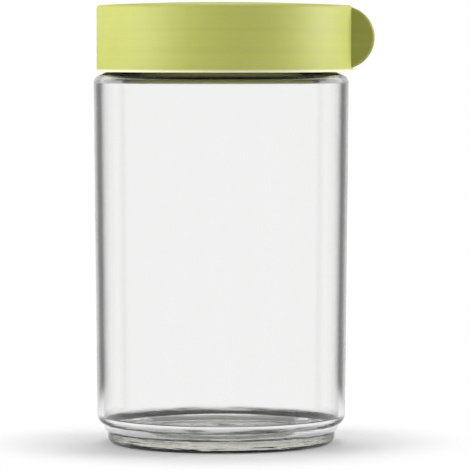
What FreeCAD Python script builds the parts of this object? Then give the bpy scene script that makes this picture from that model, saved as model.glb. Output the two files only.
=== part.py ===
import FreeCAD, Part
import math
import os

os.makedirs("parts", exist_ok=True)

# Sizes are millimetres. The jar stands on z = 0 with its axis on Z, and the lid's tab points to +X.

# Glass jar
body_radius = 50.0
body_draft = 1.35
glass_wall = 2.5
shoulder_edge_height = 143.7
shoulder_slope = 21.5
shoulder_round = 3.0
foot_setback = 4.05
foot_height = 7.25
foot_round = 3.3
step_slope = 12.0
step_root_round = 0.5
step_round = 4.2
floor_height = 4.5
floor_rise = 1.0
floor_round = 8.0
bearing_width = 8.3
recess_depth = 1.3
recess_slant = 1.6
recess_round = 1.0

# Jar neck and mouth
neck_setback = 7.6
neck_root_round = 1.2
neck_wall = 3.8
rim_land = 2.3
rim_round = 0.6
ledge_depth = 2.8
ledge_round = 0.3
inner_shoulder_round = 2.4

# Locking lugs between neck and lid
lug_count = 4
lug_sweep = 24.0
lug_height = 2.8
lug_reach = 1.5
lug_drop = 7.5
lug_bevel = 0.5
lug_root = 0.5
stop_sweep = 3.5
stop_depth = 3.4
lug_axial_clearance = 0.3
lug_radial_clearance = 0.4
lug_end_clearance = 0.5

# Lid shell
lid_height = 26.1
lid_lip_clearance = 2.1
lid_crown = 1.2
crown_setback = 1.8
crown_blend = 0.45
shell_wall = 1.8
shell_top = 2.0
lid_edge_round = 1.5
lid_lip_round = 0.4
shell_corner_round = 1.0
bead_height = 0.6
bead_reach = 0.35
key_count = 12
key_width = 1.6

# Grip tab
tab_radius = 12.3
tab_thickness = 4.2
tab_sink = 1.0
tab_drop = 12.7
tab_round = 1.3
tab_root_angle = 19.0

# Lid liner
liner_wall = 1.6
liner_top = 1.6
liner_gap = 1.1
liner_recess = 1.5
liner_flange = 1.4
liner_round = 0.8
seal_rib_wall = 1.2
seal_rib_drop = 2.7
seal_rib_clearance = 0.7
key_clearance = 0.15
snap_clearance = 0.1

# Lid seal
seal_thickness = 2.0
seal_round = 0.35
seal_clearance = 0.3

# Strainer cup
flange_thickness = 1.6
flange_clearance = 0.3
flange_round = 0.4
cup_wall = 1.4
cup_floor = 1.6
cup_depth = 21.6
cup_clearance = 0.6
cup_taper = 1.8
cup_round = 2.0
hole_radius = 2.1
hole_margin = 5.5
hole_rings = 3
holes_per_ring = 6
first_hole_angle = 90.0
slot_count = 24
slot_width = 2.6
slot_height = 10.0
slot_rise = 5.0

# Strainer handle
handle_width = 9.0
handle_thickness = 2.6
handle_headroom = 0.8
handle_wall_gap = 0.3
handle_bend = 12.0
handle_edge_round = 0.7
tenon_width = 5.0
tenon_drop = 1.0
tenon_clearance = 0.1

# Cutting shapes run past the faces they open by this much.
cut_margin = 1.5

# The jar's other heights and radii follow from the sizes above.
body_bottom_radius = body_radius - body_draft
foot_radius = body_bottom_radius - foot_setback
neck_radius = body_radius - neck_setback
neck_bore = neck_radius - neck_wall
mouth_bore = neck_radius - rim_land
shoulder_rise = math.tan(math.radians(shoulder_slope))
neck_root_height = shoulder_edge_height + neck_setback * shoulder_rise

# The lid's lip stands clear of the shoulder, and the neck reaches up inside the lid to its seal.
lid_bottom = shoulder_edge_height + lid_lip_clearance
lid_edge_height = lid_bottom + lid_height
shell_ceiling = lid_edge_height - shell_top
liner_ceiling = shell_ceiling - liner_top
rim_height = liner_ceiling - seal_thickness
ledge_height = rim_height - ledge_depth
lug_top = rim_height - lug_drop
lug_bottom = lug_top - lug_height
lug_radius = neck_radius + lug_reach

# The lid is stacked outwards from the lugs.
liner_bottom = lid_bottom + liner_recess
liner_bore = lug_radius + lug_radial_clearance
liner_radius = liner_bore + liner_wall
shell_bore = liner_radius + liner_gap
lid_radius = shell_bore + shell_wall
seal_rib_radius = mouth_bore - seal_rib_clearance

# The open lid rests against one set of stops and locks against the next.
open_angle = 360 / lug_count - lug_sweep - stop_sweep - lug_end_clearance
lock_travel = open_angle - lug_end_clearance

# The strainer hangs from the ledge in the mouth.
flange_radius = mouth_bore - flange_clearance
flange_top = ledge_height + flange_thickness
cup_radius = neck_bore - cup_clearance
cup_bottom = flange_top - cup_depth
cup_floor_top = cup_bottom + cup_floor
cup_bottom_radius = cup_radius - cup_taper
cup_flat_radius = cup_bottom_radius - cup_wall - cup_round
hole_pitch = (cup_flat_radius - hole_margin - hole_radius) / hole_rings
handle_reach = math.sqrt((cup_flat_radius - handle_wall_gap) ** 2 - (handle_width / 2) ** 2)

origin = FreeCAD.Vector(0, 0, 0)
up = FreeCAD.Vector(0, 0, 1)
across = FreeCAD.Vector(0, 1, 0)


def rounded(corners):
    """Closed wire in the XZ plane through (x, z, rounding) corners, with tangent arcs."""
    points = [FreeCAD.Vector(x, 0, z) for x, z, _ in corners]
    count = len(points)
    bends = []
    for i, here in enumerate(points):
        to_last = (points[i - 1] - here).normalize()
        to_next = (points[(i + 1) % count] - here).normalize()
        rounding = corners[i][2]
        if rounding == 0:
            bends.append((here, None, here))
            continue
        half_angle = to_last.getAngle(to_next) / 2
        reach = rounding / math.tan(half_angle)
        inwards = (to_last + to_next).normalize()
        middle = here + inwards * (rounding / math.sin(half_angle) - rounding)
        bends.append((here + to_last * reach, middle, here + to_next * reach))
    edges = []
    for i, (start, middle, end) in enumerate(bends):
        if middle:
            edges.append(Part.Arc(start, middle, end).toShape())
        edges.append(Part.LineSegment(end, bends[(i + 1) % count][0]).toShape())
    return Part.Wire(edges)


def turned(corners):
    """Solid of revolution about Z."""
    return Part.Face(rounded(corners)).revolve(origin, up, 360)


def sector(root, tip, low, high, centre_angle, sweep, bevel):
    """Lug on a ring: its section runs from root to a bevelled tip, and it turns through a sweep."""
    corners = [(root, low, 0), (tip, low + bevel, 0), (tip, high - bevel, 0), (root, high, 0)]
    solid = Part.Face(rounded(corners)).revolve(origin, up, sweep)
    solid.rotate(origin, up, centre_angle - sweep / 2)
    return solid


def around(shape, count, start=0):
    """Copies of a shape spaced evenly about Z."""
    copies = []
    for i in range(count):
        copy = shape.copy()
        copy.rotate(origin, up, start + 360 * i / count)
        copies.append(copy)
    return copies


def radial_block(inner, outer, width, low, high):
    """Box along +X, centred on the XZ plane."""
    return Part.makeBox(outer - inner, width, high - low, FreeCAD.Vector(inner, -width / 2, low))


def glass_jar():
    recess_radius = foot_radius - bearing_width
    step_corner_height = foot_height + foot_setback * math.tan(math.radians(step_slope))
    slant_wall = glass_wall / math.cos(math.radians(shoulder_slope))
    inner_edge_height = shoulder_edge_height + glass_wall * shoulder_rise - slant_wall
    inner_neck_height = inner_edge_height + (body_radius - glass_wall - neck_bore) * shoulder_rise
    jar = turned([
        (0, recess_depth, 0),
        (recess_radius - recess_slant, recess_depth, recess_round),
        (recess_radius, 0, recess_round),
        (foot_radius, 0, foot_round),
        (foot_radius, foot_height, step_root_round),
        (body_bottom_radius, step_corner_height, step_round),
        (body_radius, shoulder_edge_height, shoulder_round),
        (neck_radius, neck_root_height, neck_root_round),
        (neck_radius, rim_height, rim_round),
        (mouth_bore, rim_height, rim_round),
        (mouth_bore, ledge_height, ledge_round),
        (neck_bore, ledge_height, ledge_round),
        (neck_bore, inner_neck_height, inner_shoulder_round),
        (body_radius - glass_wall, inner_edge_height, inner_shoulder_round),
        (body_bottom_radius - glass_wall, floor_height, floor_round),
        (0, floor_height + floor_rise, 0)])
    root = neck_radius - lug_root
    lug = sector(root, lug_radius, lug_bottom, lug_top, 0, lug_sweep, lug_bevel)
    stop_angle = -(lug_sweep + stop_sweep) / 2
    stop = sector(root, lug_radius, lug_bottom - stop_depth, lug_top, stop_angle, stop_sweep, lug_bevel)
    return jar.fuse(around(lug, lug_count) + around(stop, lug_count)).removeSplitter()


def level_edges(solid, height):
    """Edges of a solid that stay near one height."""
    near = lid_edge_round
    return [edge for edge in solid.Edges
            if abs(edge.BoundBox.ZMin - height) < near and abs(edge.BoundBox.ZMax - height) < near]


def lid_drum():
    """The lid's outside as one solid: a drum drawn out to a point behind the tab, under a shallow dome."""
    angle = math.radians(tab_root_angle)
    touch = FreeCAD.Vector(lid_radius * math.cos(angle), lid_radius * math.sin(angle), lid_bottom)
    far_touch = FreeCAD.Vector(touch.x, -touch.y, lid_bottom)
    back = FreeCAD.Vector(-lid_radius, 0, lid_bottom)
    tip = FreeCAD.Vector(lid_radius / math.cos(angle), 0, lid_bottom)
    outline = Part.Wire([
        Part.Arc(touch, back, far_touch).toShape(),
        Part.LineSegment(far_touch, tip).toShape(),
        Part.LineSegment(tip, touch).toShape()])
    drum = Part.Face(outline).extrude(up * lid_height)
    drum = drum.makeFillet(lid_lip_round, level_edges(drum, lid_bottom))
    drum = drum.makeFillet(lid_edge_round, level_edges(drum, lid_edge_height))
    foot = lid_radius - crown_setback
    top = lid_edge_height + lid_crown
    dome_angle = math.atan(lid_crown / (foot - foot / 2))
    dome_round = crown_blend * foot / math.tan(dome_angle / 2)
    dome = turned([
        (0, shell_ceiling, 0),
        (foot, shell_ceiling, 0),
        (foot, lid_edge_height, 0),
        (foot / 2, top, dome_round),
        (0, top, 0)])
    return drum.fuse(dome)


def grip_tab():
    """Round upright tab, half of it inside the drum."""
    centre = FreeCAD.Vector(lid_radius - tab_sink, -tab_thickness / 2, lid_edge_height - tab_drop)
    disc = Part.makeCylinder(tab_radius, tab_thickness, centre, across)
    rims = [edge for edge in disc.Edges if edge.BoundBox.YLength < tab_round]
    return disc.makeFillet(tab_round, rims)


def lid_shell():
    cavity = turned([
        (0, lid_bottom - shell_wall, 0),
        (shell_bore, lid_bottom - shell_wall, 0),
        (shell_bore, shell_ceiling, shell_corner_round),
        (0, shell_ceiling, 0)])
    shell = lid_drum().fuse(grip_tab()).cut(cavity)
    bead_top = liner_bottom - snap_clearance
    bead_root = shell_bore + bead_reach
    bead = turned([
        (bead_root, bead_top - bead_height, 0),
        (shell_bore - bead_reach, bead_top - bead_height / 2, 0),
        (bead_root, bead_top, 0)])
    key = radial_block(liner_radius + key_clearance, bead_root, key_width, liner_bottom,
                       shell_ceiling + shell_top / 2)
    return shell.fuse([bead] + around(key, key_count)).removeSplitter()


def lid_liner():
    flange = shell_bore - key_clearance
    cap = turned([
        (0, liner_ceiling, 0),
        (liner_bore, liner_ceiling, seal_round),
        (liner_bore, liner_bottom, seal_round),
        (flange, liner_bottom, seal_round),
        (flange, liner_bottom + liner_flange, seal_round),
        (liner_radius, liner_bottom + liner_flange, 0),
        (liner_radius, shell_ceiling, liner_round),
        (0, shell_ceiling, 0)])
    notch = radial_block(liner_radius, shell_bore, key_width + 2 * key_clearance,
                         lid_bottom, liner_bottom + liner_flange + cut_margin)
    lug_high = lug_bottom - lug_axial_clearance
    lug = sector(liner_bore + lug_root, neck_radius + lug_radial_clearance, lug_high - lug_height,
                 lug_high, open_angle, lug_sweep, lug_bevel)
    return cap.cut(around(notch, key_count)).fuse(around(lug, lug_count)).removeSplitter()


def seal_rib():
    """Ring under the liner's ceiling that centres the seal. It is moulded with the liner."""
    rib_bottom = liner_ceiling - seal_rib_drop
    rib_bore = seal_rib_radius - seal_rib_wall
    return turned([
        (rib_bore, rib_bottom, seal_round),
        (seal_rib_radius, rib_bottom, seal_round),
        (seal_rib_radius, liner_ceiling, 0),
        (rib_bore, liner_ceiling, 0)])


def lid_seal():
    inner = seal_rib_radius + seal_clearance
    outer = liner_bore - seal_clearance
    return turned([
        (inner, rim_height, seal_round),
        (outer, rim_height, seal_round),
        (outer, liner_ceiling, seal_round),
        (inner, liner_ceiling, seal_round)])


def strainer_cup():
    cup = turned([
        (0, cup_bottom, 0),
        (cup_bottom_radius, cup_bottom, cup_round),
        (cup_radius, ledge_height, 0),
        (flange_radius, ledge_height, flange_round),
        (flange_radius, flange_top, flange_round),
        (cup_radius - cup_wall, flange_top, flange_round),
        (cup_bottom_radius - cup_wall, cup_floor_top, cup_round),
        (0, cup_floor_top, 0)])
    hole_low = cup_bottom - cut_margin
    hole_high = cup_floor_top + cut_margin
    hole = Part.makeCylinder(hole_radius, hole_high - hole_low, FreeCAD.Vector(0, 0, hole_low))
    openings = [hole]
    for ring in range(1, hole_rings + 1):
        ring_hole = hole.copy()
        ring_hole.translate(FreeCAD.Vector(ring * hole_pitch, 0, 0))
        openings += around(ring_hole, holes_per_ring * ring, first_hole_angle / ring)
    slot_low = cup_floor_top + slot_rise
    slot = radial_block(cup_bottom_radius - cup_wall - cut_margin, flange_radius, slot_width,
                        slot_low, slot_low + slot_height)
    openings += around(slot, slot_count, 180 / slot_count)
    tenon_hole = radial_block(handle_reach - handle_thickness - tenon_clearance,
                              handle_reach + tenon_clearance, tenon_width + 2 * tenon_clearance,
                              hole_low, hole_high)
    openings += around(tenon_hole, 2)
    return cup.cut(openings)


def strainer_handle():
    top = liner_ceiling - handle_headroom
    inner_reach = handle_reach - handle_thickness
    outline = rounded([
        (-handle_reach, cup_floor_top, 0),
        (-handle_reach, top, handle_bend),
        (handle_reach, top, handle_bend),
        (handle_reach, cup_floor_top, 0),
        (inner_reach, cup_floor_top, 0),
        (inner_reach, top - handle_thickness, handle_bend - handle_thickness),
        (-inner_reach, top - handle_thickness, handle_bend - handle_thickness),
        (-inner_reach, cup_floor_top, 0)])
    band = Part.Face(outline).extrude(across * handle_width)
    band.translate(across * (-handle_width / 2))
    foot_top = cup_floor_top + cut_margin
    long_edges = [edge for edge in band.Edges
                  if edge.BoundBox.YLength < handle_edge_round and edge.BoundBox.ZMax > foot_top]
    band = band.makeFillet(handle_edge_round, long_edges)
    tenon = radial_block(inner_reach, handle_reach, tenon_width, cup_bottom - tenon_drop,
                         cup_floor_top + handle_thickness)
    return band.fuse(around(tenon, 2)).removeSplitter()


for make in (glass_jar, lid_shell, lid_liner, seal_rib, lid_seal, strainer_cup, strainer_handle):
    shape = make()
    solid = shape.Solids[0]
    print(make.__name__, len(shape.Solids), "solid", solid.isValid(), round(solid.Volume / 1000, 2), "cm3",
          shape.BoundBox)
    solid.exportStep(f"parts/{make.__name__}.step")

print("rim", rim_height, "ledge", ledge_height, "lid bottom", lid_bottom, "lid radius", lid_radius)
print("lock travel", lock_travel, "cup bottom", cup_bottom, "handle reach", handle_reach)
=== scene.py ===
import math

import bpy
from bpy.props import FloatProperty, IntProperty, PointerProperty, StringProperty
from bpy.types import Operator, Panel, PropertyGroup
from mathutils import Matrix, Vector


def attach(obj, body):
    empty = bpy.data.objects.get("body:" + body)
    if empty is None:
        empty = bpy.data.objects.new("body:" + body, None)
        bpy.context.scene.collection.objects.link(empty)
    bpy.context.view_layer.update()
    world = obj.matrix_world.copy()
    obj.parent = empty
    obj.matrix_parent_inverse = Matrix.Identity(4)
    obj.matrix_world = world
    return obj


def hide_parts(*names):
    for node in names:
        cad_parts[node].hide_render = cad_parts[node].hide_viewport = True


bl_info = {
    "name": "Keeper jar",
    "version": (1, 0, 0),
    "blender": (4, 5, 0),
    "location": "3D View > Sidebar > Keeper",
    "description": "Builds a clear glass keeper jar with its green lid and lift-out strainer",
    "category": "Add Mesh",
}

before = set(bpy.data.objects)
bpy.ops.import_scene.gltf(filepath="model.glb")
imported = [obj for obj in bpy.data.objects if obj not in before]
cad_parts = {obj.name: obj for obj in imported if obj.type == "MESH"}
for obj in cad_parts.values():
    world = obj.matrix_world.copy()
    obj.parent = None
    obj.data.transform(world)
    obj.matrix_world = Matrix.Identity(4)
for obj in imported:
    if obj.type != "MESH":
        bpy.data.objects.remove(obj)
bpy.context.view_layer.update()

MM = 0.001
FULL_TURN = math.tau
# Distances in metres below which two places count as one
SAME_PLACE = 1e-7
NEAR_PLACE = 1e-6

WHITE = (1, 1, 1, 1)
MULTIPLY = {"operation": "MULTIPLY"}
MAXIMUM = {"operation": "MAXIMUM"}
SMOOTH = {"interpolation_type": "SMOOTHSTEP"}
RGBA = {"data_type": "RGBA"}

# Radii and heights in millimetres, as in the solids
NECK_RADIUS = 42.4
NECK_BORE = 38.6
MOUTH_BORE = 40.1
LUG_RADIUS = 43.9
STOP_BOTTOM = 152.6
LUG_BOTTOM = 156
LUG_TOP = 158.8
LEDGE = 163.5
RIM = 166.3
LID_LOW = 145.8
LID_HIGH = 171.9
LID_CEILING = 169.9
LID_BORE = 47

# Levels of white that the glass sees behind it, and that the camera sees
BACKDROP_THROUGH_GLASS = 0.9
BACKDROP_WHITE = 1.0


class JarSizes(PropertyGroup):
    """Sizes and colour of the glass jar."""
    body_radius: FloatProperty(
        name="Body radius", description="Outside radius at the shoulder", default=0.050, unit="LENGTH")
    body_bottom_radius: FloatProperty(
        name="Bottom radius", description="Outside radius at the bottom of the body", default=0.04865,
        unit="LENGTH")
    glass_wall: FloatProperty(
        name="Glass wall", description="Thickness of the body's wall", default=0.0025, unit="LENGTH")
    steps: IntProperty(
        name="Spin steps", description="Facets around the jar", default=240, min=24)
    glass_colour: StringProperty(
        name="Glass colour", description="sRGB hex colour of the glass in its depth", default="#DDDDD2")


class LidSizes(PropertyGroup):
    """Sizes and colours of the lid and of the pieces under it."""
    radius: FloatProperty(
        name="Lid radius", description="Outside radius of the lid", default=0.0488, unit="LENGTH")
    colour: StringProperty(
        name="Colour", description="sRGB hex colour of the lid", default="#BDC160")
    inner_colour: StringProperty(
        name="Inner colour", description="sRGB hex colour of the liner and the strainer",
        default="#A9AD4E")
    seal_colour: StringProperty(
        name="Seal colour", description="sRGB hex colour of the seal", default="#DDDDD2")


def deselect_all():
    if bpy.context.object and bpy.context.object.mode != "OBJECT":
        bpy.ops.object.mode_set(mode="OBJECT")
    bpy.ops.object.select_all(action="DESELECT")


def first_vertex(name, place):
    """New object in edit mode that is one selected vertex at a place."""
    deselect_all()
    bpy.ops.mesh.primitive_plane_add(size=MM)
    piece = bpy.context.object
    piece.name = name
    piece.data.name = name
    bpy.ops.object.mode_set(mode="EDIT")
    bpy.ops.mesh.select_mode(type="VERT")
    bpy.ops.mesh.merge(type="CENTER")
    bpy.ops.transform.translate(value=place)
    return piece


def draw_outline(name, corners, segments):
    """New object with a wire in the XZ plane through (x, z, rounding) corners in millimetres."""
    points = [Vector((x, 0, z)) * MM for x, z, _ in corners]
    piece = first_vertex(name, points[0])
    for here, after in zip(points, points[1:]):
        bpy.ops.mesh.extrude_region_move(TRANSFORM_OT_translate={"value": after - here})
    for i, here in enumerate(points):
        rounding = corners[i][2] * MM
        if rounding == 0:
            continue
        bend = (points[i - 1] - here).angle(points[i + 1] - here)
        select(piece, "VERT", lambda co: (co - here).length < SAME_PLACE)
        bpy.ops.mesh.bevel(offset=rounding / math.tan(bend / 2), segments=segments, profile=0.5,
                           affect="VERTICES")
    bpy.ops.object.mode_set(mode="OBJECT")
    return piece


def select(piece, kind, test):
    """In edit mode, selects what stands at places that pass the test, and nothing else."""
    bpy.ops.object.mode_set(mode="OBJECT")
    mesh = piece.data
    for item in (*mesh.vertices, *mesh.edges, *mesh.polygons):
        item.select = False
    if kind == "VERT":
        chosen = [v for v in mesh.vertices if test(v.co)]
    elif kind == "EDGE":
        chosen = [e for e in mesh.edges if test(*[mesh.vertices[v].co for v in e.vertices])]
    else:
        chosen = [f for f in mesh.polygons if test(f.center)]
    for item in chosen:
        item.select = True
    bpy.ops.object.mode_set(mode="EDIT")
    bpy.ops.mesh.select_mode(type=kind)


def spin_outline(piece, steps):
    """Turns the drawn wire into a closed surface about Z."""
    bpy.context.view_layer.objects.active = piece
    bpy.ops.object.mode_set(mode="EDIT")
    bpy.ops.mesh.select_all(action="SELECT")
    bpy.ops.mesh.spin(steps=steps, angle=FULL_TURN, center=(0, 0, 0), axis=(0, 0, 1))
    bpy.ops.mesh.select_all(action="SELECT")
    bpy.ops.mesh.remove_doubles(threshold=SAME_PLACE)
    bpy.ops.mesh.normals_make_consistent(inside=False)
    bpy.ops.object.mode_set(mode="OBJECT")


def combine(piece, other, operation):
    """Adds or cuts another piece by an exact boolean, and removes it."""
    deselect_all()
    bpy.context.view_layer.objects.active = piece
    piece.select_set(True)
    bpy.ops.object.modifier_add(type="BOOLEAN")
    modifier = piece.modifiers[-1]
    modifier.operation = operation
    modifier.solver = "EXACT"
    modifier.object = other
    bpy.ops.object.modifier_apply(modifier=modifier.name)
    bpy.data.objects.remove(other)


def settle(piece, angle):
    """Applies the piece's place and shades it smooth up to an angle in degrees."""
    deselect_all()
    bpy.context.view_layer.objects.active = piece
    piece.select_set(True)
    bpy.ops.object.transform_apply(location=True, rotation=True, scale=True)
    bpy.ops.object.shade_smooth_by_angle(angle=math.radians(angle))


def finish_piece(piece, material, body, slot, *nodes):
    """Gives a new piece its material and its body, and hides the CAD nodes that it stands for. The slot
    is not used.
    """
    piece.data.materials.clear()
    piece.data.materials.append(material)
    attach(piece, body)
    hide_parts(*nodes)


def linear(hex_colour):
    """Linear colour from an sRGB hex value such as #BDC160."""
    parts = [int(hex_colour[i:i + 2], 16) / 255 for i in (1, 3, 5)]
    return (*[c / 12.92 if c <= 0.04045 else ((c + 0.055) / 1.055) ** 2.4 for c in parts], 1)


def node(tree, kind, settings=None, inputs=None):
    """Adds a node with its settings, and with values or links for its inputs."""
    made = tree.nodes.new(kind)
    for key, value in (settings or {}).items():
        setattr(made, key, value)
    for key, value in (inputs or {}).items():
        if isinstance(value, bpy.types.NodeSocket):
            tree.links.new(value, made.inputs[key])
        else:
            made.inputs[key].default_value = value
    return made


def new_material(name):
    material = bpy.data.materials.new(name)
    material.use_nodes = True
    material.node_tree.nodes.clear()
    return material, material.node_tree


def satin_polypropylene(name, hex_colour, roughness, lip_highlight_height=0.0):
    """Polypropylene, injection moulded against a fine spark-eroded tool.

    It gives a soft wide sheen, a grain that is just seen, and faint level flow lines. A pale band is
    painted along the bottom edge at the given height, a painted highlight for the bright floor that it
    reflects, and the grip tab is painted a darker, deeper green, a painted shade where the lid's drum
    keeps the light off it.
    """
    material, tree = new_material(name)
    place = node(tree, "ShaderNodeTexCoord").outputs["Object"]
    # A grain of 0.4 mm, coarser than the real 0.05 mm, which would not show
    grain = node(tree, "ShaderNodeTexNoise", inputs={"Vector": place, "Scale": 2600.0, "Detail": 2.0})
    # Clouds of 22 mm, and flow lines 2.6 mm apart that run level round the piece
    clouds = node(tree, "ShaderNodeTexNoise", inputs={"Vector": place, "Scale": 45.0, "Detail": 3.0})
    level = node(tree, "ShaderNodeMapping", inputs={"Vector": place, "Scale": (6.0, 6.0, 380.0)})
    flow = node(tree, "ShaderNodeTexNoise", inputs={
        "Vector": level.outputs[0], "Scale": 1.0, "Detail": 2.0})
    streaks = node(tree, "ShaderNodeMath", {"operation": "ADD"}, {
        0: clouds.outputs["Fac"], 1: flow.outputs["Fac"]})
    tone = node(tree, "ShaderNodeMapRange", inputs={
        "Value": streaks.outputs[0], "From Min": 0.6, "From Max": 1.4, "To Min": 0.95, "To Max": 1.05})
    axes = node(tree, "ShaderNodeSeparateXYZ", inputs={"Vector": place})
    # Painted highlight: a pale band from 0.2 to 1.5 mm above the given height, for the bright floor
    # that the rounded bottom edge reflects; none when the height is 0
    painted_lip_highlight = node(tree, "ShaderNodeMapRange", SMOOTH, {
        "Value": axes.outputs["Z"], "From Min": lip_highlight_height + 0.2 * MM,
        "From Max": lip_highlight_height + 1.5 * MM, "To Min": 1.0 if lip_highlight_height else 0.0, "To Max": 0.0})
    # Painted shade: past 50.6 mm on X the grip tab takes a darker, deeper green, where the lid's drum
    # keeps the light off it
    painted_tab_shade = node(tree, "ShaderNodeMapRange", SMOOTH, {
        "Value": axes.outputs["X"], "From Min": 50.6 * MM, "From Max": 51.2 * MM})
    with_tab_shade = node(tree, "ShaderNodeMix", RGBA, {
        "Factor": painted_tab_shade.outputs[0], "A": linear(hex_colour), "B": linear("#9A9D41")})
    body = node(tree, "ShaderNodeMix", RGBA, {
        "Factor": painted_lip_highlight.outputs[0], "A": with_tab_shade.outputs["Result"], "B": linear("#FFFADA")})
    colour = node(tree, "ShaderNodeHueSaturation", inputs={
        "Color": body.outputs["Result"], "Value": tone.outputs[0]})
    rough = node(tree, "ShaderNodeMapRange", inputs={
        "Value": streaks.outputs[0], "From Min": 0.6, "From Max": 1.4,
        "To Min": roughness - 0.04, "To Max": roughness + 0.04})
    bump = node(tree, "ShaderNodeBump", inputs={
        "Height": grain.outputs["Fac"], "Strength": 0.12, "Distance": 0.04 * MM})
    shader = node(tree, "ShaderNodeBsdfPrincipled", inputs={
        "Base Color": colour.outputs[0], "Roughness": rough.outputs[0], "IOR": 1.49,
        "Subsurface Weight": 0.3, "Subsurface Radius": (1.6, 1.6, 0.8), "Subsurface Scale": MM,
        "Normal": bump.outputs[0]})
    node(tree, "ShaderNodeOutputMaterial", inputs={"Surface": shader.outputs[0]})
    return material


def soda_lime_glass(name, depth_colour):
    """Soda-lime glass, pressed and blown in a mould: clear, olive-grey in its depth, with slow waves.

    The inner wall is painted darker where it is seen at a grazing angle, a painted shade for the dark
    surroundings that the jar's edges show. The foot has drawn out ripples, and dark bands painted at
    its bottom and its steps, a painted shade for the shadowed floor that the glass shows there.
    """
    material, tree = new_material(name)
    place = node(tree, "ShaderNodeTexCoord").outputs["Object"]
    height = node(tree, "ShaderNodeSeparateXYZ", inputs={"Vector": place}).outputs["Z"]
    # Waves of 14 mm over the whole jar
    waves = node(tree, "ShaderNodeTexNoise", inputs={"Vector": place, "Scale": 70.0, "Detail": 1.0})
    wavy = node(tree, "ShaderNodeBump", inputs={
        "Height": waves.outputs["Fac"], "Strength": 0.2, "Distance": 0.15 * MM})
    # Ripples 17 mm long and 1.4 mm high in the foot
    heel = node(tree, "ShaderNodeMapRange", SMOOTH, {
        "Value": height, "From Min": 8 * MM, "From Max": 11 * MM, "To Min": 1.0, "To Max": 0.0})
    drawn_out = node(tree, "ShaderNodeMapping", inputs={"Vector": place, "Scale": (60.0, 60.0, 700.0)})
    ripples = node(tree, "ShaderNodeTexNoise", inputs={
        "Vector": drawn_out.outputs[0], "Scale": 1.0, "Detail": 2.0})
    rippled = node(tree, "ShaderNodeBump", inputs={
        "Height": ripples.outputs["Fac"], "Strength": heel.outputs[0], "Distance": 0.6 * MM,
        "Normal": wavy.outputs[0]})
    streaks = node(tree, "ShaderNodeMapRange", SMOOTH, {
        "Value": ripples.outputs["Fac"], "From Min": 0.45, "From Max": 0.65})
    patchy = node(tree, "ShaderNodeMapRange", inputs={"Value": streaks.outputs[0], "To Min": 0.45})
    # Painted shade: near-black bands at the bottom, halfway up the foot and at its step, broken up by
    # the ripples
    painted_foot_shade = node(tree, "ShaderNodeMath", MULTIPLY, {
        0: painted_foot_bands(tree, height).outputs[0], 1: patchy.outputs[0]})
    # Painted shade: the inner wall goes grey towards a grazing view, for the dark surroundings that the
    # jar's edges show
    facing = node(tree, "ShaderNodeLayerWeight", inputs={"Blend": 0.5})
    grazing = node(tree, "ShaderNodeMapRange", SMOOTH, {
        "Value": facing.outputs["Facing"], "From Min": 0.62, "From Max": 0.94})
    inner = node(tree, "ShaderNodeAttribute", {"attribute_name": "inner_wall"})
    share = node(tree, "ShaderNodeMath", MULTIPLY, {0: grazing.outputs[0], 1: inner.outputs["Fac"]})
    painted_edge_shade = node(tree, "ShaderNodeMix", RGBA, {
        "Factor": share.outputs[0], "A": WHITE, "B": linear("#7C817D")})
    colour = node(tree, "ShaderNodeMix", RGBA, {
        "Factor": painted_foot_shade.outputs[0], "A": painted_edge_shade.outputs["Result"], "B": linear("#14150F")})
    shader = node(tree, "ShaderNodeBsdfPrincipled", inputs={
        "Base Color": colour.outputs["Result"], "Roughness": 0.0, "IOR": 1.52,
        "Transmission Weight": 1.0, "Normal": rippled.outputs[0]})
    depth = node(tree, "ShaderNodeVolumeAbsorption", inputs={
        "Color": linear(depth_colour), "Density": 14.0})
    node(tree, "ShaderNodeOutputMaterial", inputs={
        "Surface": shader.outputs[0], "Volume": depth.outputs[0]})
    return material


def painted_foot_bands(tree, height):
    """Amount of painted shade in dark bands over the lowest 14 mm: at the bottom, halfway up the foot
    and at its step.
    """
    share = node(tree, "ShaderNodeMapRange", inputs={"Value": height, "From Max": 14 * MM})
    bands = node(tree, "ShaderNodeValToRGB", inputs={0: share.outputs[0]})
    elements = bands.color_ramp.elements
    first, *between, last = (
        (0.0, 0.8), (0.06, 0.1), (0.22, 0.15), (0.29, 0.7), (0.36, 0.1), (0.50, 0.2), (0.56, 1.0),
        (0.66, 0.9), (0.74, 0.0))
    for element, (position, amount) in ((elements[0], first), (elements[-1], last)):
        element.position = position
        element.color = (amount, amount, amount, 1)
    for position, amount in between:
        elements.new(position).color = (amount, amount, amount, 1)
    return bands


def silicone_rubber(name, hex_colour):
    """Food-grade silicone, compression moulded: milky and nearly matte, with a dust of 1 mm patches."""
    material, tree = new_material(name)
    place = node(tree, "ShaderNodeTexCoord").outputs["Object"]
    dust = node(tree, "ShaderNodeTexNoise", inputs={"Vector": place, "Scale": 900.0, "Detail": 3.0})
    rough = node(tree, "ShaderNodeMapRange", inputs={
        "Value": dust.outputs["Fac"], "To Min": 0.5, "To Max": 0.75})
    shader = node(tree, "ShaderNodeBsdfPrincipled", inputs={
        "Base Color": linear(hex_colour), "Roughness": rough.outputs[0], "IOR": 1.41,
        "Subsurface Weight": 0.4, "Subsurface Radius": (2.0, 2.0, 1.5), "Subsurface Scale": MM})
    node(tree, "ShaderNodeOutputMaterial", inputs={"Surface": shader.outputs[0]})
    return material


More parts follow.
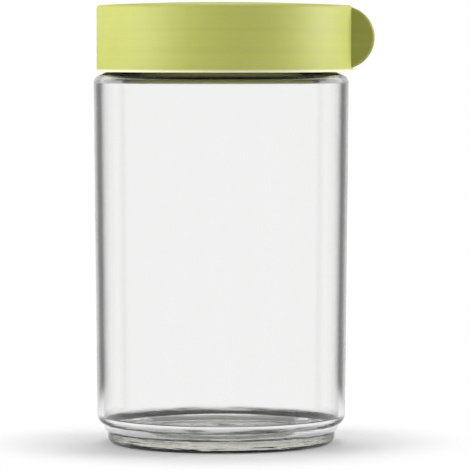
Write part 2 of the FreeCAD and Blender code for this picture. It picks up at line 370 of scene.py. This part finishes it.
def jar_outline(sizes):
    """Half section of the jar, from the middle of its underside round to the middle of its floor."""
    widest = sizes.body_radius / MM
    waist = sizes.body_bottom_radius / MM
    wall = sizes.glass_wall / MM
    underside = [(0, 1.3, 0), (34.7, 1.3, 1), (36.3, 0, 1)]
    foot = [(44.6, 0, 3.3), (44.6, 7.25, 0.5)]
    body = [(waist, 8.11, 4.2), (widest, 143.7, 3)]
    neck = [(NECK_RADIUS, 146.694, 1.2), (NECK_RADIUS, STOP_BOTTOM, 0), (NECK_RADIUS, LUG_BOTTOM, 0),
            (NECK_RADIUS, LUG_TOP, 0), (NECK_RADIUS, RIM, 0.6)]
    mouth = [(MOUTH_BORE, RIM, 0.6), (MOUTH_BORE, LEDGE, 0.3), (NECK_BORE, LEDGE, 0.3),
             (NECK_BORE, 145.504, 2.4)]
    inside = [(widest - wall, 142.45, 1.6), (waist - wall, 4.5, 3), (0, 5.5, 0)]
    return underside + foot + body + neck + mouth + inside


def raise_lugs(jar):
    """Raises four locking lugs on the neck, each with a stop that hangs from one end."""
    lug_end, stop_end, lug_round = 12, 15, 0.4
    mid_wall = (NECK_RADIUS + MOUTH_BORE) / 2
    quarter = FULL_TURN / 4

    def on_lug(co):
        angle = math.degrees((math.atan2(co.y, co.x) + quarter / 2) % quarter - quarter / 2)
        if math.hypot(co.x, co.y) < mid_wall * MM or co.z > LUG_TOP * MM:
            return False
        on_bar = -lug_end < angle < lug_end and co.z > LUG_BOTTOM * MM
        return on_bar or (-stop_end < angle < -lug_end and co.z > STOP_BOTTOM * MM)

    select(jar, "FACE", on_lug)
    grow = LUG_RADIUS / NECK_RADIUS
    bpy.ops.mesh.extrude_region_move()
    bpy.ops.transform.resize(value=(grow, grow, 1), center_override=(0, 0, 0))
    bpy.ops.mesh.region_to_loop()
    bpy.ops.mesh.bevel(offset=lug_round * MM, segments=3, affect="EDGES")
    bpy.ops.object.mode_set(mode="OBJECT")


def mark_inner_wall(jar):
    """Stores which faces look inwards, for the painted shade that darkens the inner wall at a grazing
    angle.
    """
    inner_wall = jar.data.attributes.new("inner_wall", "FLOAT", "FACE")
    for face in jar.data.polygons:
        across = Vector((face.center.x, face.center.y))
        inwards = across.dot(face.normal.xy) < -0.3 * across.length
        inner_wall.data[face.index].value = float(inwards and face.center.z > 3 * MM)


class KEEPER_OT_glass_jar(Operator):
    """Build the clear glass jar with its foot, shoulder, neck and locking lugs"""
    bl_idname = "keeper.glass_jar"
    bl_label = "Glass jar"

    def execute(self, context):
        sizes = context.scene.keeper_jar
        jar = draw_outline("Glass_Jar", jar_outline(sizes), 8)
        spin_outline(jar, sizes.steps)
        raise_lugs(jar)
        settle(jar, 35)
        mark_inner_wall(jar)
        glass = soda_lime_glass("Soda_lime_glass", sizes.glass_colour)
        finish_piece(jar, glass, "jar", "clear_glass", "glass_jar")
        return {"FINISHED"}


def cap_blank(radius, low, high):
    """Solid round cap whose side runs out tangentially to a wedge on +X, with a domed top."""
    wedge = math.radians(19)
    touch = Vector((radius * math.cos(wedge), radius * math.sin(wedge), low))
    tip = Vector((radius / math.cos(wedge), 0, low))
    end = Vector((touch.x, -touch.y, low))
    cap = first_vertex("Lid_Cap", touch)
    bpy.ops.mesh.spin(steps=214, angle=FULL_TURN - 2 * wedge, center=(0, 0, 0), axis=(0, 0, -1))
    select(cap, "VERT", lambda co: (co - end).length < NEAR_PLACE)
    bpy.ops.mesh.extrude_region_move(TRANSFORM_OT_translate={"value": tip - end})
    select(cap, "VERT", lambda co: min((co - tip).length, (co - touch).length) < NEAR_PLACE)
    bpy.ops.mesh.edge_face_add()
    bpy.ops.mesh.select_all(action="SELECT")
    bpy.ops.mesh.edge_face_add()
    bpy.ops.mesh.extrude_region_move(TRANSFORM_OT_translate={"value": (0, 0, high - low)})
    bpy.ops.mesh.select_all(action="SELECT")
    bpy.ops.mesh.normals_make_consistent(inside=False)
    raise_dome(cap, high)
    for level, rounding, segments in ((high, 1.5, 8), (low, 0.4, 3)):
        select(cap, "EDGE", lambda a, b: all(
            abs(corner.z - level) < NEAR_PLACE and math.hypot(corner.x, corner.y) > radius - 0.02 * MM
            for corner in (a, b)))
        bpy.ops.mesh.bevel(offset=rounding * MM, segments=segments, affect="EDGES")
    return cap


def raise_dome(cap, high):
    """Insets the flat top in rings that rise along a parabola to a slight dome."""
    margin, dome_radius, dome_rise, rings = 1.8, 47.0, 1.2, 9
    select(cap, "FACE", lambda co: co.z > high - NEAR_PLACE)
    bpy.ops.mesh.inset(thickness=margin * MM, depth=0)
    for ring in range(rings):
        outer = dome_radius * (1 - ring / (rings + 0.5))
        inner = dome_radius * (1 - (ring + 1) / (rings + 0.5))
        rise = dome_rise * ((outer / dome_radius) ** 2 - (inner / dome_radius) ** 2)
        bpy.ops.mesh.inset(thickness=(outer - inner) * MM, depth=rise * MM)
    bpy.ops.mesh.poke()


def grip_tab():
    """Upright round tab, seen edge-on from the lid's middle, with soft rims."""
    deselect_all()
    bpy.ops.mesh.primitive_cylinder_add(
        vertices=160, radius=12.3 * MM, depth=4.2 * MM,
        location=(47.8 * MM, 0, 159.2 * MM), rotation=(FULL_TURN / 4, 0, 0))
    tab = bpy.context.object
    bpy.ops.object.transform_apply(location=True, rotation=True, scale=True)
    select(tab, "EDGE", lambda a, b: abs(a.y - b.y) < SAME_PLACE)
    bpy.ops.mesh.bevel(offset=1.3 * MM, segments=8, affect="EDGES")
    bpy.ops.object.mode_set(mode="OBJECT")
    return tab


def lid_cavity():
    """What is cut from the cap: a bore with a snap bead near its mouth."""
    cavity = draw_outline("Cavity", [
        (0, 144, 0), (LID_BORE, 144, 0), (LID_BORE, 146.6, 0), (46.65, 146.9, 0), (LID_BORE, 147.2, 0),
        (LID_BORE, LID_CEILING, 1), (0, LID_CEILING, 0)], 6)
    spin_outline(cavity, 240)
    return cavity


def lid_keys():
    """Ring of upright keys that hold the liner from turning."""
    count = 12
    deselect_all()
    bpy.ops.mesh.primitive_cube_add(
        size=1, location=(46.7 * MM, 0, 159.1 * MM), scale=(1.3 * MM, 1.6 * MM, 23.6 * MM))
    keys = bpy.context.object
    bpy.ops.object.transform_apply(location=True, rotation=True, scale=True)
    bpy.ops.object.mode_set(mode="EDIT")
    bpy.ops.mesh.select_all(action="SELECT")
    for _ in range(count - 1):
        bpy.ops.mesh.duplicate()
        bpy.ops.transform.rotate(value=FULL_TURN / count, orient_axis="Z", center_override=(0, 0, 0))
    bpy.ops.object.mode_set(mode="OBJECT")
    return keys


class KEEPER_OT_lid_cap(Operator):
    """Build the green lid cap with its grip tab"""
    bl_idname = "keeper.lid_cap"
    bl_label = "Lid cap"

    def execute(self, context):
        sizes = context.scene.keeper_lid
        low, high = LID_LOW * MM, LID_HIGH * MM
        cap = cap_blank(sizes.radius, low, high)
        combine(cap, grip_tab(), "UNION")
        combine(cap, lid_cavity(), "DIFFERENCE")
        combine(cap, lid_keys(), "UNION")
        settle(cap, 25)
        green = satin_polypropylene("Satin_polypropylene_lid", sizes.colour, 0.5, low)
        finish_piece(cap, green, "lid", "lid_green", "lid_shell")
        return {"FINISHED"}


class KEEPER_OT_inner_parts(Operator):
    """Give the liner, the seal and the strainer their materials"""
    bl_idname = "keeper.inner_parts"
    bl_label = "Liner, seal and strainer"

    def execute(self, context):
        sizes = context.scene.keeper_lid
        green = satin_polypropylene("Satin_polypropylene_inner", sizes.inner_colour, 0.45)
        finishes = {
            "lid_liner": green, "seal_rib": green, "strainer_cup": green, "strainer_handle": green,
            "lid_seal": silicone_rubber("Silicone_seal", sizes.seal_colour)}
        for name, material in finishes.items():
            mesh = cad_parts[name].data
            mesh.materials.clear()
            mesh.materials.append(material)
        return {"FINISHED"}


def white_sweep():
    """Painted sweep: it takes the shadow near the object and is plain white further away."""
    material, tree = new_material("White_sweep")
    path = node(tree, "ShaderNodeLightPath")
    seen = node(tree, "ShaderNodeMath", MAXIMUM, {
        0: path.outputs["Is Camera Ray"], 1: path.outputs["Is Transmission Ray"]})
    seen = node(tree, "ShaderNodeMath", MAXIMUM, {0: seen.outputs[0], 1: path.outputs["Is Glossy Ray"]})
    place = node(tree, "ShaderNodeTexCoord").outputs["Object"]
    away = node(tree, "ShaderNodeVectorMath", {"operation": "LENGTH"}, {0: place})
    distant = node(tree, "ShaderNodeMapRange", SMOOTH, {
        "Value": away.outputs["Value"], "From Min": 0.055, "From Max": 0.105})
    whitened = node(tree, "ShaderNodeMath", MULTIPLY, {0: distant.outputs[0], 1: seen.outputs[0]})
    lit = node(tree, "ShaderNodeBsdfDiffuse", inputs={"Color": linear("#F2F2F2")})
    fill = node(tree, "ShaderNodeMath", MULTIPLY, {0: path.outputs["Is Camera Ray"], 1: 0.06})
    glow = node(tree, "ShaderNodeEmission", inputs={"Color": WHITE, "Strength": fill.outputs[0]})
    near = node(tree, "ShaderNodeAddShader", inputs={0: lit.outputs[0], 1: glow.outputs[0]})
    backdrop = node(tree, "ShaderNodeMapRange", inputs={
        "Value": path.outputs["Is Camera Ray"], "To Min": BACKDROP_THROUGH_GLASS,
        "To Max": BACKDROP_WHITE})
    far = node(tree, "ShaderNodeEmission", inputs={"Color": WHITE, "Strength": backdrop.outputs[0]})
    sweep = node(tree, "ShaderNodeMixShader", inputs={
        0: whitened.outputs[0], 1: near.outputs[0], 2: far.outputs[0]})
    node(tree, "ShaderNodeOutputMaterial", inputs={"Surface": sweep.outputs[0]})
    return material


def graduated_card():
    """Grey card, darker outwards, that fades out at every edge so that no edge shows in the glass."""
    material, tree = new_material("Graduated_card")
    place = node(tree, "ShaderNodeTexCoord").outputs["Object"]
    axes = node(tree, "ShaderNodeSeparateXYZ", inputs={"Vector": place})
    height = axes.outputs["Z"]
    spread = node(tree, "ShaderNodeMath", {"operation": "ABSOLUTE"}, {0: axes.outputs["X"]}).outputs[0]
    near = node(tree, "ShaderNodeMapRange", SMOOTH, {
        "Value": spread, "From Min": 0.048, "From Max": 0.074, "To Min": 0.92, "To Max": 0.66})
    far = node(tree, "ShaderNodeMapRange", SMOOTH, {
        "Value": spread, "From Min": 0.080, "From Max": 0.094, "To Min": 1.0, "To Max": 0.35})
    tone = node(tree, "ShaderNodeMath", MULTIPLY, {0: near.outputs[0], 1: far.outputs[0]})
    card = node(tree, "ShaderNodeEmission", inputs={"Color": WHITE, "Strength": tone.outputs[0]})
    cover = 1.0
    for value, low, high, at_low, at_high in (
            (spread, 0.120, 0.178, 1.0, 0.0), (height, 0.140, 0.178, 1.0, 0.0),
            (spread, 0.045, 0.056, 0.0, 1.0), (height, 0.000, 0.012, 0.0, 1.0)):
        fade = node(tree, "ShaderNodeMapRange", SMOOTH, {
            "Value": value, "From Min": low, "From Max": high, "To Min": at_low, "To Max": at_high})
        cover = node(tree, "ShaderNodeMath", MULTIPLY, {0: fade.outputs[0], 1: cover}).outputs[0]
    clear = node(tree, "ShaderNodeBsdfTransparent")
    faded = node(tree, "ShaderNodeMixShader", inputs={
        0: cover, 1: clear.outputs[0], 2: card.outputs[0]})
    node(tree, "ShaderNodeOutputMaterial", inputs={"Surface": faded.outputs[0]})
    return material


def add_floor():
    deselect_all()
    bpy.ops.mesh.primitive_plane_add(size=12, location=(0, 0, -0.05 * MM))
    floor = bpy.context.object
    floor.name = "Floor"
    bpy.ops.object.transform_apply(location=True, rotation=True, scale=True)
    floor.data.materials.append(white_sweep())


def add_studio(scene):
    """Room that is white to the camera, even low down for glass, and dim overhead."""
    world = bpy.data.worlds.new("Studio")
    scene.world = world
    world.use_nodes = True
    tree = world.node_tree
    tree.nodes.clear()
    direction = node(tree, "ShaderNodeTexCoord").outputs["Generated"]
    axes = node(tree, "ShaderNodeSeparateXYZ", inputs={"Vector": direction})
    ceiling = node(tree, "ShaderNodeMapRange", SMOOTH, {
        "Value": axes.outputs["Z"], "From Min": 0.3, "From Max": 0.6,
        "To Min": BACKDROP_THROUGH_GLASS, "To Max": 0.12})
    path = node(tree, "ShaderNodeLightPath")
    bent = node(tree, "ShaderNodeMath", MAXIMUM, {
        0: path.outputs["Is Glossy Ray"], 1: path.outputs["Is Transmission Ray"]})
    strength = node(tree, "ShaderNodeMix", {"data_type": "FLOAT"}, {
        "Factor": bent.outputs[0], "A": 0.44, "B": ceiling.outputs[0]})
    strength = node(tree, "ShaderNodeMix", {"data_type": "FLOAT"}, {
        "Factor": path.outputs["Is Camera Ray"], "A": strength.outputs[0], "B": BACKDROP_WHITE})
    sky = node(tree, "ShaderNodeBackground", inputs={"Color": WHITE, "Strength": strength.outputs[0]})
    node(tree, "ShaderNodeOutputWorld", inputs={"Surface": sky.outputs[0]})


def add_grey_cards():
    """Pair of cards close behind the jar that only glass sees; they draw its dark edges."""
    deselect_all()
    bpy.ops.mesh.primitive_plane_add(
        size=1, location=(0, 0.09, 0.09), rotation=(FULL_TURN / 4, 0, 0), scale=(0.36, 0.18, 1))
    cards = bpy.context.object
    cards.name = "Grey_cards"
    bpy.ops.object.transform_apply(location=True, rotation=True, scale=True)
    bpy.ops.object.mode_set(mode="EDIT")
    bpy.ops.mesh.select_all(action="SELECT")
    bpy.ops.mesh.subdivide(number_cuts=7)
    select(cards, "FACE", lambda co: abs(co.x) < 0.03)
    bpy.ops.mesh.delete(type="FACE")
    bpy.ops.object.mode_set(mode="OBJECT")
    cards.data.materials.append(graduated_card())
    cards.visible_camera = False
    cards.visible_diffuse = False
    cards.visible_shadow = False


def grade_face(lamp):
    """Fades the lamp's face from its middle to its edges, as a diffuser does."""
    lamp.data.use_nodes = True
    tree = lamp.data.node_tree
    across = node(tree, "ShaderNodeSeparateXYZ", inputs={
        "Vector": node(tree, "ShaderNodeNewGeometry").outputs["Parametric"]})
    fades = []
    for axis in ("X", "Y"):
        wide = node(tree, "ShaderNodeMapRange", inputs={
            "Value": across.outputs[axis], "To Min": 0.0, "To Max": math.pi})
        fades.append(node(tree, "ShaderNodeMath", {"operation": "SINE"}, {0: wide.outputs[0]}))
    fade = node(tree, "ShaderNodeMath", MULTIPLY, {0: fades[0].outputs[0], 1: fades[1].outputs[0]})
    face = next(item for item in tree.nodes if item.type == "EMISSION")
    tree.links.new(fade.outputs[0], face.inputs["Strength"])


def add_lamps():
    """Two side softboxes that leave the glass out, so that they draw no bands in it, and a top one."""
    no_glass = bpy.data.collections.new("Kept_out_of_the_side_lamps")
    no_glass.objects.link(bpy.data.objects["Glass_Jar"])
    no_glass.collection_objects[0].light_linking.link_state = "EXCLUDE"
    target = Vector((0, 0, 0.09))
    for name, place, size, watts, receivers in (
            ("Left_softbox", (-0.95, -0.28, 0.3), (1.0, 1.3), 22.0, no_glass),
            ("Right_softbox", (0.98, 0.1, 0.3), (1.0, 1.3), 22.0, no_glass),
            ("Top_softbox", (0, 0.4, 1.1), (0.6, 0.6), 8.0, None)):
        bpy.ops.object.light_add(type="AREA", location=place)
        lamp = bpy.context.object
        lamp.name = name
        lamp.data.shape = "RECTANGLE"
        lamp.data.size, lamp.data.size_y = size
        lamp.data.energy = watts
        lamp.light_linking.receiver_collection = receivers
        lamp.rotation_euler = (target - Vector(place)).to_track_quat("-Z", "Y").to_euler()
        grade_face(lamp)


def add_camera(scene):
    """Long lens from the front, a little above the lid and pitched slightly down."""
    bpy.ops.object.camera_add(
        location=(0.0054, -1.55, 0.156), rotation=(math.radians(90 - 2.741), 0, 0))
    camera = bpy.context.object
    camera.data.sensor_width = 36
    camera.data.lens = 302.7
    scene.camera = camera


class KEEPER_OT_stage(Operator):
    """Set the floor, the lamps, the world and the camera"""
    bl_idname = "keeper.stage"
    bl_label = "Stage"

    def execute(self, context):
        add_floor()
        add_studio(context.scene)
        add_grey_cards()
        add_lamps()
        add_camera(context.scene)
        context.scene.view_settings.view_transform = "Standard"
        return {"FINISHED"}


class KEEPER_PT_panel(Panel):
    """Lists the pieces of the keeper"""
    bl_label = "Keeper jar"
    bl_idname = "KEEPER_PT_panel"
    bl_space_type = "VIEW_3D"
    bl_region_type = "UI"
    bl_category = "Keeper"

    def draw(self, context):
        column = self.layout.column()
        for operator in operators:
            column.operator(operator.bl_idname)


operators = (KEEPER_OT_glass_jar, KEEPER_OT_lid_cap, KEEPER_OT_inner_parts, KEEPER_OT_stage)
classes = (JarSizes, LidSizes, *operators, KEEPER_PT_panel)


def register():
    for cls in classes:
        bpy.utils.register_class(cls)
    bpy.types.Scene.keeper_jar = PointerProperty(type=JarSizes)
    bpy.types.Scene.keeper_lid = PointerProperty(type=LidSizes)


def unregister():
    del bpy.types.Scene.keeper_lid
    del bpy.types.Scene.keeper_jar
    for cls in reversed(classes):
        bpy.utils.unregister_class(cls)


def main():
    register()
    bpy.ops.keeper.glass_jar()
    bpy.ops.keeper.lid_cap()
    bpy.ops.keeper.inner_parts()
    bpy.ops.keeper.stage()


if __name__ == "__main__":
    main()
